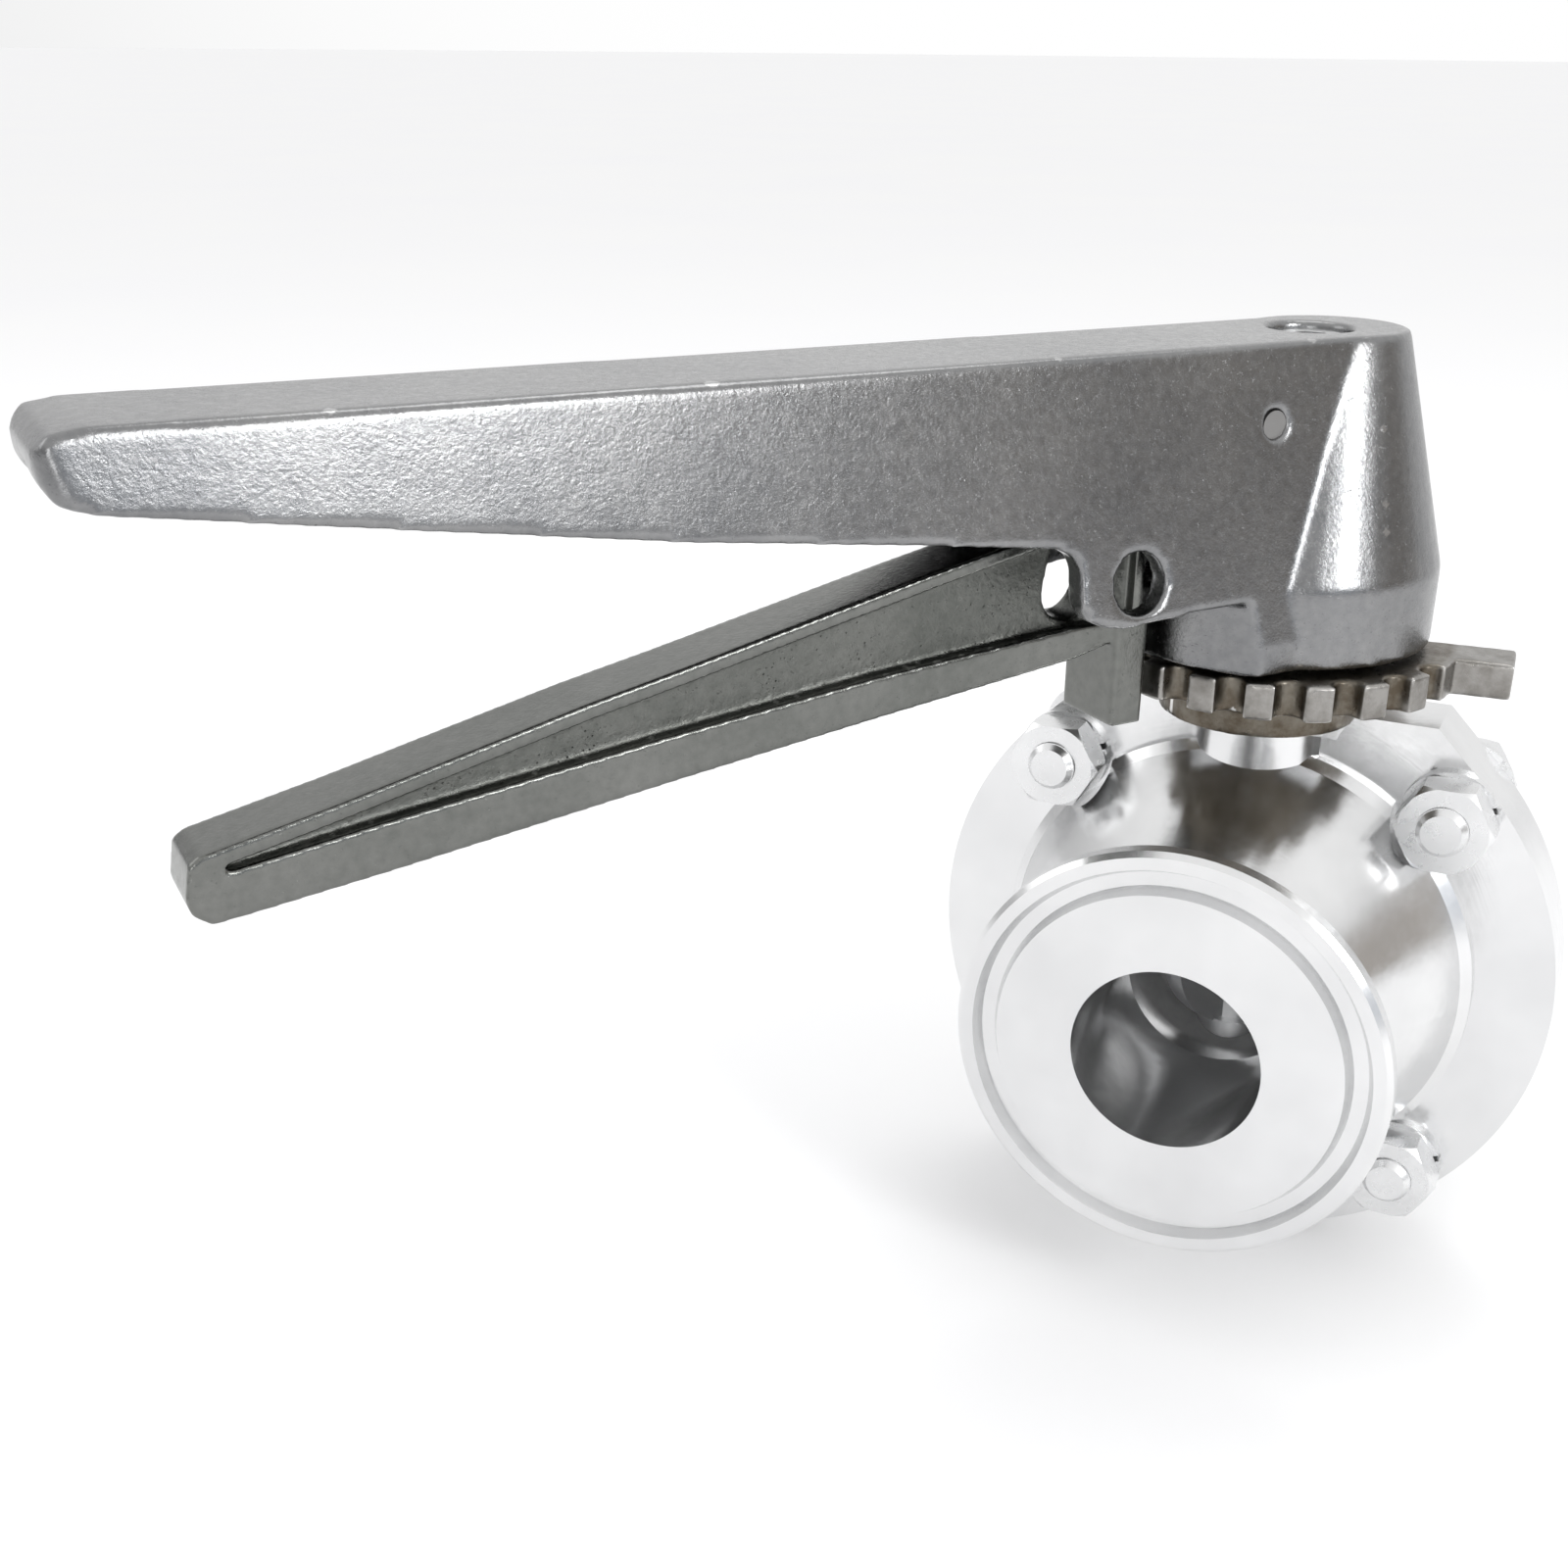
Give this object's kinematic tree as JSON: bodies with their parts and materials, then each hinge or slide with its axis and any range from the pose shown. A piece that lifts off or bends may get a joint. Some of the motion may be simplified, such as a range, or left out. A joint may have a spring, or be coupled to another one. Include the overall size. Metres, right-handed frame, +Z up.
{
  "type": "butterfly valve",
  "caption": "Sanitary clamp-end butterfly valve with a cast squeeze handle, latch trigger and toothed index plate that holds the disc at steps from shut to open.",
  "frame": {"origin": "centre of the inlet ferrule's sealing face, on the pipe axis", "axes": "+Y runs along the pipe from the inlet to the outlet, +Z runs up along the stem toward the handle, +X completes the right-handed frame; at rest the handle points between -X and -Y, 54 degrees round from -X"},
  "size_m": [0.1237, 0.1475, 0.1155],
  "materials": {
    "polished_steel": "bright polished cast stainless steel",
    "disc_steel": "bright machined stainless steel",
    "fastener_steel": "plain stainless steel",
    "plate_steel": "cast stainless steel, slightly brown in the notches",
    "cast_steel": "tumbled cast stainless steel, satin and finely pitted",
    "trigger_steel": "cast stainless steel, rough in the recess",
    "seat_rubber": "smooth moulded grey elastomer",
    "bush_plastic": "plain bearing plastic"
  },
  "bodies": {
    "valve": {"body_front": "polished_steel", "body_rear": "polished_steel", "seat": "seat_rubber", "upper_bush": "bush_plastic", "lower_bush": "bush_plastic", "body_bolts": "fastener_steel", "bolt_washers": "fastener_steel", "nut_washers": "fastener_steel", "body_nuts": "fastener_steel", "index_plate": "plate_steel", "thrust_washer": "bush_plastic"},
    "handle": {"handle": "cast_steel", "handle_screw": "fastener_steel", "screw_washer": "fastener_steel", "trigger_pin": "fastener_steel", "disc_stem": "disc_steel", "upper_o_rings": "seat_rubber", "lower_o_ring": "seat_rubber", "trigger_spring": "fastener_steel"},
    "trigger": {"trigger": "trigger_steel"}
  },
  "joints": [
    {"name": "stem_turn", "type": "hinge", "parent": "valve", "child": "handle", "pos_m": [0, 0.0345, 0.0415], "axis": [0, 0, 1], "range_deg": [-54, 36]},
    {"name": "trigger_pivot", "type": "hinge", "parent": "handle", "child": "trigger", "pos_m": [-0.00723, 0.02455, 0.0679], "axis": [-0.809, 0.5878, 0], "range_deg": [-3.2, 13.5], "stiffness_Nm_per_rad": 2.5, "springref_deg": -20.05, "deforming": ["trigger_spring"]}
  ]
}
